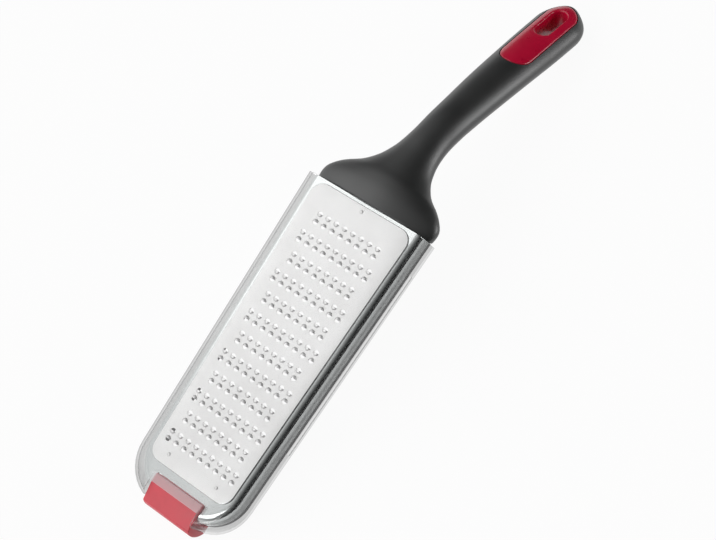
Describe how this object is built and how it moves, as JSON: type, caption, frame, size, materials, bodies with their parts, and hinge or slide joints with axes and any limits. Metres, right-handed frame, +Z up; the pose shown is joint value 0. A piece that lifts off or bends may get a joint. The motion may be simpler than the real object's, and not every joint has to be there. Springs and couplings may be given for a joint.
{
  "type": "rasp zester",
  "caption": "Flat hand rasp for zest with paired teeth on a drawn steel plate, a bent soft-grip handle with a hanging loop, a tip foot and a clear lift-off cover.",
  "frame": {"origin": "on the table, under the middle of the part as it rests on its foot and the end of its handle", "axes": "+X across the head, +Y from the tip towards the end of the handle, +Z up; the toothed face looks up and leans towards the tip"},
  "size_m": [0.0726, 0.3291, 0.0535],
  "materials": {
    "plate_steel": "satin plateau, polished rolled rim",
    "frame_plastic": "matt moulded",
    "rivet_steel": "plain",
    "soft_grip": "soft-touch, fine matt",
    "insert_red": "glossy",
    "foot_red": "soft satin",
    "clear_cover": "clear, polished"
  },
  "bodies": {
    "rasp": {"grating_plate": "plate_steel", "plate_frame": "frame_plastic", "root_rivets": "rivet_steel", "handle_core": "frame_plastic", "handle_grip": "soft_grip", "hang_insert": "insert_red", "tip_foot": "foot_red"},
    "cover": {"protective_cover": "clear_cover"}
  },
  "joints": [
    {"name": "cover_lift", "type": "slide", "parent": "rasp", "child": "cover", "axis": [0, -0.2027, 0.9792], "range_m": [0, 0.05]}
  ]
}
